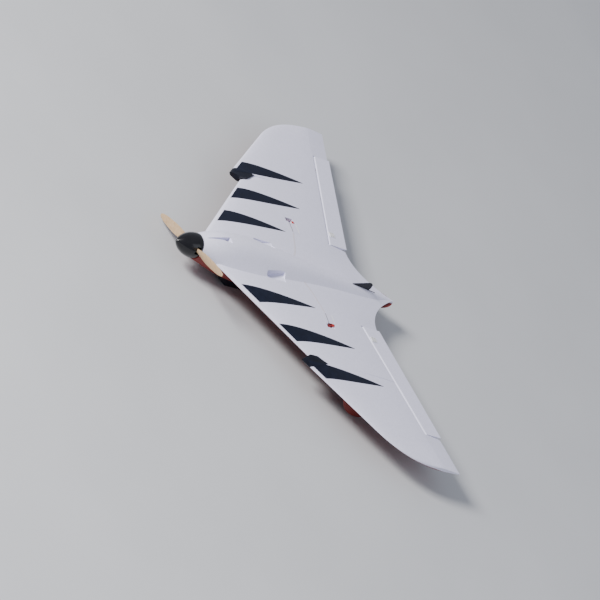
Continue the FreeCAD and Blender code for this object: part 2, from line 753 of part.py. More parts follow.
def ventral_shape():
    """A plate under the wing with a swept, rounded outline."""
    front, rear = size("ventral_front"), size("ventral_rear")
    length, bottom = rear - front, -size("ventral_depth")
    x = size("ventral_x") - size("ventral_thickness") / 2
    root = size("chord_height")
    brow = place(x, front, root)
    knee = place(x, front + 0.27 * length, 0.66 * bottom)
    toe = place(x, front + 0.67 * length, bottom)
    heel = place(x, front + 0.9 * length, 0.85 * bottom)
    back = place(x, rear, 0.5 * bottom)
    stern = place(x, rear, root)
    edges = [Part.Arc(brow, knee, toe).toShape(), Part.Arc(toe, heel, back).toShape(),
             Part.makeLine(back, stern), Part.makeLine(stern, brow)]
    return Part.Face(Part.Wire(edges)).extrude(X_AXIS * size("ventral_thickness"))


ventral = part(shaped("ventral_fin", ventral_shape()), "ventral_fin_left")
mirrored(ventral, "ventral_fin_right")

# ---------------------------------------------------------------- nose: firewall and motor

MOUNT = "(firewall_station - mount_thickness)"
BASE_PLATE = "(%s - 2)" % MOUNT
BELL_REAR = "(%s - bell_clearance)" % BASE_PLATE
BELL_FRONT = "(%s - bell_length)" % BELL_REAR

wire_slot = block("wire_slot", "16", "firewall_thickness", "6", "0", "firewall_station", "14")
firewall_disc = rod("firewall_disc", "firewall_radius", "firewall_thickness",
                    "0", "firewall_station", "0")
screw_holes = []
screws = []
for i in range(4):
    angle = math.radians(90 * i + 45)
    across = "%.6f * mount_hole_circle" % math.cos(angle)
    up = "%.6f * mount_hole_circle" % math.sin(angle)
    screw_holes.append(rod("screw_hole_%d" % i, "mount_screw_radius",
                           "mount_thickness + firewall_thickness + 2", across, MOUNT, up))
    shank = rod("mount_shank_%d" % i, "mount_screw_radius",
                "mount_thickness + firewall_thickness + 2", across, MOUNT, up)
    head = rod("mount_head_%d" % i, "1.8 * mount_screw_radius", "1.8", across,
               MOUNT + " - 1.8", up)
    screws.append(fuse("mount_screw_%d" % i, head, shank))
all_screw_holes = fuse("mount_holes", *screw_holes)
part(cut("firewall_cut", firewall_disc, wire_slot, all_screw_holes), "firewall")
part(fuse("mount_screw_set", *screws), "motor_mount_screws")

arms = []
for i in range(2):
    arm = doc.addObject("Part::Box", "mount_arm_%d" % i)
    bind(arm, Length="2 * mount_hole_circle + mount_arm_width", Width="mount_thickness",
         Height="mount_arm_width")
    turn = Rotation(Y_AXIS, 45 + 90 * i)
    arm.Placement = Placement(Vector(), turn)
    corner = turn.multVec(Vector(-1, 0, 0))
    side = turn.multVec(Vector(0, 0, -1))
    reach = "(mount_hole_circle + mount_arm_width / 2)"
    put(arm, "%.6f * %s + %.6f * mount_arm_width / 2" % (corner.x, reach, side.x), MOUNT,
        "%.6f * %s + %.6f * mount_arm_width / 2" % (corner.z, reach, side.z))
    arms.append(arm)
mount_cross = fuse("mount_cross", *arms)
part(cut("mount_drilled", mount_cross, all_screw_holes), "motor_mount")

STATOR = "(bell_radius - bell_wall - stator_gap)"
part(turned("stator", [
    ("shaft_radius + shaft_fit", BELL_FRONT + " + bell_cap + 1.5"),
    ("4", BELL_FRONT + " + bell_cap + 1.5"), ("4", BELL_FRONT + " + bell_cap + 3"),
    (STATOR, BELL_FRONT + " + bell_cap + 3"), (STATOR, BELL_REAR + " - 2"),
    ("4", BELL_REAR + " - 2"), ("4", BASE_PLATE),
    ("bell_radius - 1", BASE_PLATE), ("bell_radius - 1", MOUNT),
    ("shaft_radius + shaft_fit", MOUNT)]), "motor_stator")
part(turned("bell", [
    ("shaft_radius", BELL_FRONT), ("bell_radius - 2", BELL_FRONT),
    ("bell_radius", BELL_FRONT + " + 2"), ("bell_radius", BELL_REAR),
    ("bell_radius - bell_wall", BELL_REAR), ("bell_radius - bell_wall", BELL_FRONT + " + bell_cap"),
    ("shaft_radius", BELL_FRONT + " + bell_cap")]), "motor_bell")

# ---------------------------------------------------------------- spinner and propeller

SPINNER_REAR = "spinner_length"
HUB_FRONT = "(spinner_length - prop_hub_length)"
PLATE_REAR = "(spinner_length + backplate_thickness)"
part(rod("shaft", "shaft_radius", MOUNT + " - 0.5 - (%s - 4)" % SPINNER_REAR,
         "0", SPINNER_REAR + " - 4", "0"), "motor_shaft")
part(turned("adapter", [
    ("0", HUB_FRONT + " - nut_length - 3"), ("stem_radius - 0.6", HUB_FRONT + " - nut_length - 3"),
    ("stem_radius", HUB_FRONT + " - nut_length - 2.4"), ("stem_radius", PLATE_REAR),
    ("stem_radius + 4", PLATE_REAR), ("stem_radius + 4", PLATE_REAR + " + 2.5"),
    ("shaft_radius", PLATE_REAR + " + 2.5"), ("shaft_radius", SPINNER_REAR + " - 4"),
    ("0", SPINNER_REAR + " - 4")]), "prop_adapter")
part(turned("backplate", [
    ("stem_radius", SPINNER_REAR), ("spinner_radius", SPINNER_REAR), ("spinner_radius", PLATE_REAR),
    ("stem_radius", PLATE_REAR)]), "spinner_backplate")
part(turned("washer", [
    ("stem_radius", HUB_FRONT + " - 1"), ("stem_radius + 3.5", HUB_FRONT + " - 1"),
    ("stem_radius + 3.5", HUB_FRONT), ("stem_radius", HUB_FRONT)]), "prop_washer")

nut = plate("nut_body", "XZ_Plane", "nut_length", [[
    ("%.6f * nut_flats / 2 / cos(30)" % math.cos(math.radians(60 * i)),
     "%.6f * nut_flats / 2 / cos(30)" % math.sin(math.radians(60 * i))) for i in range(6)]],
    [("0", "0", "stem_radius")])
part(put(nut, "0", HUB_FRONT + " - 1 - nut_length / 2", "0"), "prop_nut")


def ogive(radius, length, shift):
    """A solid ogive: an arc that leaves the tip and meets the base along the axis."""
    curve = (radius ** 2 + length ** 2) / (2 * radius)
    centre_x = radius - curve
    half = math.asin(length / curve) / 2
    middle = Vector(centre_x + curve * math.cos(half), length - curve * math.sin(half), 0)
    arc = Part.Arc(Vector(0, 0, 0), middle, Vector(radius, length, 0)).toShape()
    base = Part.makeLine(Vector(radius, length, 0), Vector(0, length, 0))
    axis = Part.makeLine(Vector(0, length, 0), Vector(0, 0, 0))
    solid = Part.Face(Part.Wire([arc, base, axis])).revolve(Vector(), Y_AXIS, 360)
    solid.translate(place(0, shift, 0))
    return solid


BLADE_STATION = size("spinner_length") - size("prop_hub_length") / 2 - 0.5
# one blade: share of the tip radius, chord and thickness as shares of the tip radius
BLADE_SECTIONS = (
    (0.06, 0.093, 0.047),
    (0.17, 0.106, 0.036),
    (0.34, 0.144, 0.025),
    (0.55, 0.161, 0.019),
    (0.78, 0.136, 0.014),
    (0.93, 0.093, 0.010),
    (1.00, 0.042, 0.007),
)
LARGEST_PITCH = math.radians(42)


def blade_shape():
    """One blade along +X, twisted to the propeller's pitch, from hub to tip."""
    tip = size("prop_radius")
    wires = []
    for reach, chord, thick in BLADE_SECTIONS:
        centre = place(reach * tip, BLADE_STATION, 0)
        pitch = min(math.atan(size("prop_pitch") / (2 * math.pi * reach * tip)), LARGEST_PITCH)
        ahead = Vector(0, -math.sin(pitch), math.cos(pitch)) * (chord * tip / 2)
        front = Vector(0, -math.cos(pitch), -math.sin(pitch)) * (thick * tip)
        nose, tail = centre + ahead, centre - ahead
        cambered = Part.Arc(nose, centre + front * 0.75, tail).toShape()
        flat = Part.Arc(tail, centre - front * 0.25, nose).toShape()
        wires.append(Part.Wire([cambered, flat]))
    return Part.makeLoft(wires, True, False)


def about_thrust(shape, angle):
    """A copy turned about the thrust line."""
    turned_copy = shape.copy()
    turned_copy.rotate(place(0, 0, 0), Y_AXIS, angle)
    return turned_copy


blade = blade_shape()
hub = Part.makeCylinder(size("prop_hub_radius"), size("prop_hub_length"),
                        place(0, size("spinner_length") - size("prop_hub_length"), 0), Y_AXIS)
stem_hole = Part.makeCylinder(size("stem_radius"), 60, place(0, 20, 0), Y_AXIS)
rest_turn = -size("prop_rest_angle")
propeller = hub.fuse([blade, about_thrust(blade, 180)]).cut(stem_hole)
part(shaped("propeller_shape", about_thrust(propeller, rest_turn)), "propeller")

slot_width = 0.145 * size("prop_radius")
slot = Part.makeBox(2 * size("spinner_radius") + 4, size("prop_hub_length") + 4, slot_width,
                    place(-size("spinner_radius") - 2,
                          size("spinner_length") - size("prop_hub_length") - 1, -slot_width / 2))
cone = ogive(size("spinner_radius"), size("spinner_length"), 0)
hollow_radius = size("spinner_radius") - size("spinner_wall")
cone = cone.cut(ogive(hollow_radius, size("spinner_length") - 1.4 * size("spinner_wall"),
                      1.4 * size("spinner_wall")))
part(shaped("spinner_shape", cone.cut(about_thrust(slot, rest_turn))), "spinner_cone")

# ---------------------------------------------------------------- fuselage shells and hatch

bore = rod("motor_bore", "nose_bore", "bay_front - 50", "0", "52", "0")
groove = rod("firewall_groove", "firewall_radius", "firewall_thickness",
             "0", "firewall_station", "0")
bay = block("bay", "2 * bay_half_width", "bay_rear - bay_front", "bay_top - bay_floor",
            "0", "bay_front", "bay_floor")
receiver_bay = block("receiver_bay", "2 * bay_half_width", "receiver_bay_rear - bay_rear",
                     "bay_top - 2 + 12", "0", "bay_rear", "-12")
hatch_slot = block("hatch_slot", "2 * bay_half_width", "hatch_rear - hatch_front", "80",
                   "0", "hatch_front", "bay_floor - 80")
part(cut("deck", fuse("deck_foam", slab, upper_body), bore, groove, bay, receiver_bay, grips, inlet,
         main_spar_bore, rear_spar_bore, lead_tunnels, dorsal), "fuselage_deck")

magnet_station = "(bay_rear + 6)"
frame_magnets = []
hatch_magnets = []
for i, side in enumerate(("-14", "14")):
    frame_magnets.append(rod("frame_magnet_%d" % i, "magnet_radius", "magnet_thickness",
                             side, magnet_station, "bay_floor + 0.1", "Z"))
    hatch_magnets.append(rod("hatch_magnet_%d" % i, "magnet_radius", "magnet_thickness",
                             side, magnet_station, "bay_floor - hatch_gap - magnet_thickness", "Z"))
frame_magnet_set = part(fuse("frame_magnet_set", *frame_magnets), "belly_magnets")
hatch_magnet_set = part(fuse("hatch_magnet_set", *hatch_magnets), "hatch_magnets")

belly_foam = cut("belly_foam", lower_body, slab)


def rail_shape():
    """A skid rail: a straight runner with sloped ends, cut to the belly above it."""
    ground = -size("thrust_height")
    front, rear, ramp = size("rail_front"), size("rail_rear"), size("rail_ramp")
    x = size("rail_x") - size("rail_width") / 2
    outline = [(front, -20), (front, ground + 14), (front + ramp, ground),
               (rear - ramp, ground), (rear, ground + 14), (rear, -20)]
    corners = [place(x, station, height) for station, height in outline]
    face = Part.Face(Part.makePolygon(corners + corners[:1]))
    return face.extrude(X_AXIS * size("rail_width"))


left_rail = rail_shape()
rails = shaped("rails", left_rail.fuse(left_rail.mirror(Vector(), X_AXIS)))
belly = cut("belly", belly_foam, bore, groove, bay, receiver_bay, hatch_slot, frame_magnet_set)
part(belly, "belly_shell")
part(cut("rail_set", rails, lower_body, slab), "skid_rails")

hatch_block = block("hatch_block", "2 * bay_half_width - 2 * hatch_gap",
                    "hatch_rear - hatch_front - 2 * hatch_gap", "80",
                    "0", "hatch_front + hatch_gap", "bay_floor - hatch_gap - 80")
tongue = block("hatch_tongue", "16", "12", "2.4", "0", "hatch_front - 9",
               "bay_floor + clearance")
tongue_root = block("tongue_root", "16", "3", "hatch_gap + clearance + 2.4 + 2", "0",
                    "hatch_front + hatch_gap", "bay_floor - hatch_gap - 2")
finger_notch = rod("finger_notch", "5", "20", "0", "hatch_rear - hatch_gap", "bay_floor - 12", "Z")
hatch_skin = common("hatch_skin", lower_body, hatch_block)
hatch = cut("hatch", fuse("hatch_solid", hatch_skin, tongue, tongue_root), hatch_magnet_set,
            finger_notch)
part(hatch, "battery_hatch")

# ---------------------------------------------------------------- equipment in the bay

tray = block("tray_plate", "2 * bay_half_width - 6",
             "bay_rear - 2 - battery_front + tray_margin", "tray_thickness",
             "0", "battery_front - tray_margin", "bay_top - tray_thickness")
part(tray, "battery_tray")
battery = softened("battery_body", "battery_length", "battery_width", "battery_height", 3)
part(put(battery, "0", "battery_front + battery_length / 2",
         "bay_top - tray_thickness - battery_height"), "battery_pack")
strap_outer = block("strap_outer", "battery_width + 2 * strap_thickness", "strap_width",
                    "battery_height + strap_thickness", "0",
                    "battery_front + battery_length / 2 - strap_width / 2",
                    "bay_top - tray_thickness - battery_height - strap_thickness")
part(cut("strap", strap_outer, battery), "battery_strap")
esc = softened("esc_body", "esc_length", "esc_width", "esc_height", 2)
part(put(esc, "0", "esc_front + esc_length / 2", "bay_top - esc_height"), "speed_controller")
receiver = softened("receiver_body", "receiver_length", "receiver_width", "receiver_height", 1.2)
part(put(receiver, "0", "bay_rear + 12 + receiver_length / 2", "4"), "receiver")

# the plug hangs half way between the speed controller and the pack
esc_rear = size("esc_front") + size("esc_length")
plug_front = (esc_rear + size("battery_front") - size("plug_length")) / 2
plug_height = size("bay_top") - size("esc_height") / 2
plug = plate("plug_body", "XZ_Plane", "plug_length",
             [[("-8", "-4"), ("8", "-4"), ("8", "2"), ("6", "4"), ("-6", "4"), ("-8", "2")]])
part(put(plug, "0", "(esc_front + esc_length + battery_front) / 2", "bay_top - esc_height / 2"),
     "battery_plug")
lead_pairs = (("esc_lead", esc_rear, plug_front),
              ("battery_lead", plug_front + size("plug_length"), size("battery_front")))
for label, front, rear in lead_pairs:
    wires = [Part.makeCylinder(size("power_wire_radius"), rear - front,
                               place(side * size("power_wire_x"), front, plug_height), Y_AXIS)
             for side in (-1, 1)]
    part(shaped(label + "_wires", wires[0].fuse(wires[1])), label)

# three motor wires leave the windings, turn up behind the bell and pass over the firewall
coil_rear = number(BELL_REAR) - 2
wire_turn = number(BELL_REAR) + size("bell_clearance") / 2
wire_start_height = 8
motor_wires = []
for side in (-5, 0, 5):
    route = [place(side, coil_rear, wire_start_height),
             place(side, wire_turn, wire_start_height),
             place(side, wire_turn, size("motor_wire_height")),
             place(side, size("esc_front"), size("motor_wire_height"))]
    motor_wires.append(cable(route, size("motor_wire_radius")))
part(shaped("motor_wire_set", motor_wires[0].fuse(motor_wires[1:])), "motor_wires")

# ---------------------------------------------------------------- wing panels

inner_stations = sorted({size("root_joint"), TE_CORNER[0], DOGTOOTH_X})
inner_panel = loft_along(inner_stations, inner_edge, ruled=True)
tip_steps = [1 - (1 - t) ** 2 for t in (0.25, 0.5, 0.7, 0.85, 1)]
middle_panel = loft_along([DOGTOOTH_X, TIP_START], outer_edge, ruled=True)
tip_panel = loft_along([TIP_START] + [TIP_START + size("tip_round") * t for t in tip_steps],
                       outer_edge)
panel_foam = inner_panel.fuse([middle_panel, tip_panel])

# the fixed wing ends ahead of the hinge axis; the elevon turns behind that face
face_back = size("elevon_nose_radius") + size("hinge_gap")
face_shift = face_back * math.sqrt(1 + HINGE_SLOPE ** 2)
cutout = prism([(x, hinge_station(x) - face_shift) for x in (ELEVON_INNER - 1, ELEVON_OUTER)]
               + [(ELEVON_OUTER, 700), (ELEVON_INNER - 1, 700)], -40, 40)

servo_front = size("servo_station") - size("servo_shaft_inset")
case_low = size("servo_shaft_height") - size("servo_width") / 2
servo_hole = Part.makeBox(size("servo_height") + size("servo_boss"), size("servo_length"), OPEN_SKY,
                          place(case_inner, servo_front, case_low))
lug_place = place(case_top - size("lug_depth"), servo_front - size("servo_lug"), case_low)
lug_span = size("servo_length") + 2 * size("servo_lug")
lug_hole = Part.makeBox(size("lug_thickness"), lug_span, OPEN_SKY, lug_place)
slot_length = size("arm_length") + 8
arm_slot = Part.makeBox(3 * size("arm_standoff"), slot_length, 2 * OPEN_SKY,
                        place(gear_face - 1, size("servo_station") - slot_length / 2, -OPEN_SKY))
wing_tools = [cutout, servo_hole, lug_hole, arm_slot, ventral.Shape,
              main_spar_bore.Shape, rear_spar_bore.Shape, lead_tunnel]


# ---------------------------------------------------------------- dogtooth caps

def cap_shape():
    """A thin plastic cap that wraps the dogtooth corner and fills the notch beside it."""
    x, tip = DOGTOOTH_X, DOGTOOTH_STATION
    inboard = x - size("cap_inboard")
    outboard = x + size("cap_outboard")
    length = size("cap_length")
    skin = loft_along([inboard, outboard], lambda at: tip + OUTER_SLOPE * (at - x), True,
                      size("cap_skin"))
    outline = [(x - 1, tip - 6), (outboard, tip + 3), (outboard, tip + 0.45 * length),
               (x + 1, tip + length), (x - 6, tip + 0.79 * length),
               (inboard + 1, tip + 0.61 * length), (inboard - 0.5, inner_edge(inboard) - 5),
               (x - 8, tip + 8)]
    return skin.common(prism(outline, -OPEN_SKY, OPEN_SKY))


# ---------------------------------------------------------------- elevons

def elevon_section(x):
    """Front arc round the hinge axis, bevels up to the skin, flat sides, thin trailing edge."""
    axis = hinge_point(x)
    nose = size("elevon_nose_radius")
    chord = rear_edge(x) - hinge_station(x)
    bevel = size("elevon_bevel")
    edge = outer_edge if x > DOGTOOTH_X else inner_edge
    top = surface_height(x, hinge_station(x) + bevel, edge) - size("chord_height")
    low = surface_height(x, hinge_station(x) + bevel, edge, False) - size("chord_height")
    end = size("te_thickness") / 2
    spots = [axis + Vector(0, y, z) for y, z in
             ((0, -nose), (-nose, 0), (0, nose), (bevel, top), (chord, end), (chord, -end),
              (bevel, low))]
    edges = [Part.Arc(spots[0], spots[1], spots[2]).toShape()]
    ring = spots[2:] + spots[:1]
    for start, end_point in zip(ring, ring[1:]):
        edges.append(Part.makeLine(start, end_point))
    return Part.Wire(edges)


def about_hinge(shape, angle):
    """A copy turned about the left elevon's hinge axis; a positive angle lifts the rear."""
    copy = shape.copy()
    copy.rotate(HINGE_START, HINGE_LINE, angle)
    return copy


gap = size("elevon_side_gap")
elevon_flat = Part.makeLoft([elevon_section(ELEVON_INNER), elevon_section(ELEVON_OUTER - gap)],
                            True, True)
REFLEX = size("elevon_reflex")
knuckle = size("knuckle_length")
knuckle_gap = size("knuckle_gap")
hinge_shares = (0.2, 0.52, 0.84)
hinge_places = [ELEVON_INNER + share * (ELEVON_OUTER - ELEVON_INNER) for share in hinge_shares]


def axis_rod(middle, radius, length):
    """A cylinder on the hinge axis, centred on one of its points."""
    return Part.makeCylinder(radius, length, middle - HINGE_LINE * (length / 2), HINGE_LINE)


def leaf(middle, direction, width, start):
    """A flat hinge leaf that leaves the axis forwards (-1) or rearwards (1)."""
    away = Z_AXIS.cross(HINGE_LINE) * direction
    length = size("leaf_length")
    thick = size("leaf_thickness")
    corner = middle + away * start - HINGE_LINE * (width / 2) - Z_AXIS * (thick / 2)
    points = [corner, corner + HINGE_LINE * width, corner + HINGE_LINE * width + away * length,
              corner + away * length, corner]
    return Part.Face(Part.makePolygon(points)).extrude(Z_AXIS * thick)


pin_bore = size("hinge_pin_radius") + size("running_fit")
fixed_leaves = []
moving_leaves = []
pins = []
wing_notches = []
elevon_notches = []
for x in hinge_places:
    middle = hinge_point(x)
    side_shift = knuckle + knuckle_gap
    outer_knuckles = [axis_rod(middle + HINGE_LINE * side_shift * side, size("knuckle_radius"),
                               knuckle) for side in (-1, 1)]
    webs = [leaf(middle + HINGE_LINE * side_shift * side, -1, knuckle, 0) for side in (-1, 1)]
    wide = 3 * knuckle + 2 * knuckle_gap
    wing_plate = leaf(middle, -1, wide, face_back)
    fixed = outer_knuckles[0].fuse([outer_knuckles[1]] + webs + [wing_plate])
    fixed = fixed.cut(axis_rod(middle, size("hinge_pin_radius"), 2 * wide))
    fixed_leaves.append(fixed)
    centre = axis_rod(middle, size("knuckle_radius"), knuckle)
    moving = centre.fuse(leaf(middle, 1, knuckle, 0)).cut(axis_rod(middle, pin_bore, 2 * wide))
    moving_leaves.append(about_hinge(moving, REFLEX))
    pins.append(axis_rod(middle, size("hinge_pin_radius"), wide + 1))
    wing_notches.append(wing_plate)
    elevon_notches.append(axis_rod(middle, size("elevon_nose_radius") + 2, wide + 2))

elevon_foam = about_hinge(elevon_flat, REFLEX)
elevon_shape = about_hinge(elevon_flat.cut(elevon_notches), REFLEX).cut(moving_leaves)
fixed_set = part(shaped("fixed_leaves", fixed_leaves[0].fuse(fixed_leaves[1:])),
                 "wing_hinge_leaves_left")
moving_set = part(shaped("moving_leaves", moving_leaves[0].fuse(moving_leaves[1:])),
                  "elevon_hinge_leaves_left")
pin_set = pins[0].fuse(pins[1:])
part(shaped("pin_set", pin_set.fuse(pin_set.mirror(Vector(), X_AXIS))), "hinge_pins")
mirrored(fixed_set, "wing_hinge_leaves_right")
mirrored(moving_set, "elevon_hinge_leaves_right")

panel = panel_foam.cut(wing_tools + wing_notches)
cap = cap_shape()
cap_seat = cap.cut(panel_foam)
cap_left = part(shaped("cap", cap_seat), "dogtooth_cap_left")
mirrored(cap_left, "dogtooth_cap_right")
wing_left = part(shaped("panel", panel), "wing_panel_left")
mirrored(wing_left, "wing_panel_right")

# ---------------------------------------------------------------- servo, arm, pushrod, horn

LINK_X = size("linkage_x")
servo_axis = place(LINK_X, size("servo_station"), size("servo_shaft_height"))
horn_axis = hinge_point(LINK_X)
drop = Vector(0, 0, -size("arm_length"))
arm_hole = servo_axis + drop
horn_hole = horn_axis + drop
arm_half = size("arm_thickness") / 2
stub = size("shaft_stub")
spline = size("spline_radius")


def on_shaft(x):
    """The point of the servo shaft's axis at a span position."""
    return place(x, size("servo_station"), size("servo_shaft_height"))


case = Part.makeBox(size("servo_height"), size("servo_length"), size("servo_width"),
                    place(case_inner, servo_front, case_low))
lugs = Part.makeBox(size("lug_thickness"), lug_span, size("servo_width"), lug_place)
gearbox = Part.makeCylinder(size("servo_width") / 2 - 0.1, size("servo_boss"), on_shaft(case_top),
                            X_AXIS)
shaft_hole = Part.makeCylinder(spline + size("running_fit"), 2 * stub, on_shaft(gear_face - stub),
                               X_AXIS)
servo_left = part(shaped("servo", case.fuse([lugs, gearbox]).cut(shaft_hole)), "servo_left")
mirrored(servo_left, "servo_right")


def side_rod(middle, radius, length):
    """A cylinder along X, centred on a point."""
    return Part.makeCylinder(radius, length, middle - X_AXIS * (length / 2), X_AXIS)


def link_plate(middle, half, width_top, width_low, length):
    """A flat tapered bar across the linkage plane, hanging from a point."""
    corners = [middle + Vector(-half, -width_top / 2, 0), middle + Vector(-half, width_top / 2, 0),
               middle + Vector(-half, width_low / 2, -length),
               middle + Vector(-half, -width_low / 2, -length)]
    return Part.Face(Part.makePolygon(corners + corners[:1])).extrude(X_AXIS * 2 * half)


arm_tip_radius = 2
arm = link_plate(servo_axis, arm_half, 2 * size("arm_hub_radius"), 2 * arm_tip_radius,
                 size("arm_length"))
shaft_start = gear_face - stub + size("clearance")
arm = arm.fuse([side_rod(servo_axis, size("arm_hub_radius"), size("arm_thickness")),
                side_rod(arm_hole, arm_tip_radius, size("arm_thickness")),
                Part.makeCylinder(spline, LINK_X - shaft_start, on_shaft(shaft_start), X_AXIS)])
arm = arm.cut(side_rod(arm_hole, size("pivot_radius") + size("running_fit"),
                       2 * size("arm_thickness")))
arm_left = part(shaped("arm", arm), "servo_arm_left")
mirrored(arm_left, "servo_arm_right")


def clevis(middle, direction, inner_gap):
    """Two prongs and a pin round a plate, joined by a bridge that holds the rod."""
    prong = size("clevis_prong")
    length = size("clevis_length")
    height = size("clevis_height")
    ahead = size("arm_hub_radius") - 1.4
    half = inner_gap / 2 + prong
    start = -ahead if direction > 0 else ahead - length
    bridge_start = length - ahead - size("clevis_bridge") if direction > 0 else ahead - length
    pieces = [side_rod(middle, size("pivot_radius"), 2 * half)]
    for near in (-half, inner_gap / 2):
        pieces.append(Part.makeBox(prong, length, height,
                                   middle + Vector(near, start, -height / 2)))
    pieces.append(Part.makeBox(2 * half, size("clevis_bridge"), height,
                               middle + Vector(-half, bridge_start, -height / 2)))
    return pieces[0].fuse(pieces[1:])


rod_way = horn_hole - arm_hole
rod_length = rod_way.Length
rod_way.normalize()
rod_inset = size("clevis_length") - 3
wire = Part.makeCylinder(size("rod_radius"), rod_length - 2 * rod_inset,
                         arm_hole + rod_way * rod_inset, rod_way)
arm_clevis = clevis(arm_hole, 1, size("arm_thickness") + 2 * size("clevis_gap"))
horn_clevis = clevis(horn_hole, -1, size("horn_thickness") + 2 * size("horn_play"))
pushrod = part(shaped("pushrod", wire.fuse([arm_clevis, horn_clevis])), "pushrod_left")
mirrored(pushrod, "pushrod_right")

base_front, base_rear = size("horn_base_front"), size("horn_base_rear")
base_half = size("horn_base_half")
horn_half = size("horn_thickness") / 2
horn_reach = size("arm_length")
horn_profile = [(-1.5, -horn_reach - 2.5), (2.5, -horn_reach - 2.5),
                (base_rear - 3, -2), (base_front + 1, -2), (-2.5, -horn_reach + 5)]
corners = [horn_axis + Vector(-horn_half, y, z) for y, z in horn_profile]
blade_plate = Part.Face(Part.makePolygon(corners + corners[:1])).extrude(X_AXIS * 2 * horn_half)


def skin_patch(shift, height):
    """The part of a block over the horn's base that a shifted copy of the elevon adds to it."""
    block_shape = Part.makeBox(2 * base_half, base_rear - base_front, 12,
                               horn_axis + Vector(-base_half, base_front, height))
    return block_shape.common(elevon_foam.translated(Z_AXIS * shift)).cut(elevon_foam)


under_shift = -size("horn_base_thickness")
over_shift = size("backplate_cover")
under = skin_patch(under_shift, -6)
over = skin_patch(over_shift, -2)
pivot_hole = side_rod(horn_hole, size("pivot_radius") + 5 * size("running_fit"), 4 * base_half)
horn = under.fuse(blade_plate.cut(elevon_foam)).cut(pivot_hole)

screw_x = base_half - 2
screw_margin = 0.33 * (base_rear - base_front)
screw_solids = []
for side in (-screw_x, screw_x):
    for depth in (base_front + screw_margin, base_rear - screw_margin):
        screw_solids.append(Part.makeCylinder(size("horn_screw_radius"), 30,
                                              horn_axis + Vector(side, depth, -12)))
stack = elevon_foam.fuse([elevon_foam.translated(Z_AXIS * shift)
                          for shift in (under_shift, over_shift)])
shanks = [screw.common(stack) for screw in screw_solids]
horn = horn.cut(screw_solids)
over = over.cut(screw_solids)
elevon_shape = elevon_shape.cut(screw_solids)
horn_left = part(shaped("horn", horn), "control_horn_left")
mirrored(horn_left, "control_horn_right")
backplate_left = part(shaped("horn_backplate", over), "horn_backplate_left")
mirrored(backplate_left, "horn_backplate_right")
horn_screws = part(shaped("horn_screws", shanks[0].fuse(shanks[1:])), "horn_screws_left")
mirrored(horn_screws, "horn_screws_right")
elevon_left = part(shaped("elevon", elevon_shape), "elevon_left")
mirrored(elevon_left, "elevon_right")


# ---------------------------------------------------------------- check and export

def check():
    """Stop before anything is written if an object failed or a sub-part isn't sound."""
    doc.recompute()
    faults = [thing.Name for thing in doc.Objects
              if "Invalid" in thing.State or "Error" in thing.State]
    for label, thing in PARTS.items():
        shape = thing.Shape
        if shape.isNull() or not shape.isValid() or not shape.Solids:
            faults.append(label)
    if faults:
        raise RuntimeError("unsound objects: " + ", ".join(faults))


check()
os.makedirs("parts", exist_ok=True)
for label, thing in PARTS.items():
    thing.Shape.exportStep("parts/%s.step" % label)
    print(label, len(thing.Shape.Solids), round(thing.Shape.Volume / 1000, 2), "cm3")
print("hinge axis", hinge_point(ELEVON_INNER), hinge_point(ELEVON_OUTER))
print("servo axis", servo_axis, "horn hole", horn_hole, "arm hole", arm_hole)
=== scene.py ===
"""Finishes of the foam flying wing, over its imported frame: metres, nose along -Y, up +Z."""
import json
import math

import bmesh
import bpy
from mathutils import Matrix, Vector
from mathutils.bvhtree import BVHTree


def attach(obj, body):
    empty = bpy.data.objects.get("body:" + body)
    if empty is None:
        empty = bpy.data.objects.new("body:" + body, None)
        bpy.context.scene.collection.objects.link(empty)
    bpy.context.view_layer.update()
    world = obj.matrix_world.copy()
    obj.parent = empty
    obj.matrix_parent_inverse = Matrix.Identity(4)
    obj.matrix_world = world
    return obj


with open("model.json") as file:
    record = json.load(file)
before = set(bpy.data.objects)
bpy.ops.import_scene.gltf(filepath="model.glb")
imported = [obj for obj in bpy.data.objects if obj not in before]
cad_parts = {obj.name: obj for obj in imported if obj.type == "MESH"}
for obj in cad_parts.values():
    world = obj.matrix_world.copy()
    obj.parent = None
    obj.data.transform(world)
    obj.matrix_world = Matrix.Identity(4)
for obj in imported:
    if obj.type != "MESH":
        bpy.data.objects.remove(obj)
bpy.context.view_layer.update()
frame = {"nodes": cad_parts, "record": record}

MM = 0.001
SPINNER_TIP = -332.5   # mm, the foremost point: stations are counted back from it
BEAD = 280             # scale of the pattern of foam beads
BEAD_SHADE = 0.955     # the darkest bead's share of the paint
SHARP_ANGLE = 35       # degrees, above which a film's edge stays sharp
SKY_HEIGHT = 0.3       # m, above every piece: films drop onto the skin from here


# ---------------------------------------------------------------- shader helpers

def material(name):
    made = bpy.data.materials.new(name)
    made.use_nodes = True
    return made


def node(mat, kind, **settings):
    made = mat.node_tree.nodes.new("ShaderNode" + kind)
    for key, value in settings.items():
        setattr(made, key, value)
    return made


def feed(mat, source, target):
    mat.node_tree.links.new(source, target)


def shader(mat):
    return mat.node_tree.nodes["Principled BSDF"]


def grain(mat, scale, stretch=(1, 1, 1), detail=4):
    """Noise in the piece's own coordinates."""
    where = node(mat, "TexCoord")
    spread = node(mat, "Mapping")
    spread.inputs["Scale"].default_value = stretch
    feed(mat, where.outputs["Object"], spread.inputs["Vector"])
    noise = node(mat, "TexNoise")
    noise.inputs["Scale"].default_value = scale
    noise.inputs["Detail"].default_value = detail
    feed(mat, spread.outputs["Vector"], noise.inputs["Vector"])
    return noise.outputs["Fac"]


def ramp(mat, factor, *stops):
    """Colours at positions along a factor."""
    made = node(mat, "ValToRGB")
    band = made.color_ramp.elements
    while len(band) < len(stops):
        band.new(0.5)
    for stop, (at, colour) in zip(band, stops):
        stop.position = at
        stop.color = (*colour, 1)
    feed(mat, factor, made.inputs["Fac"])
    return made.outputs["Color"]


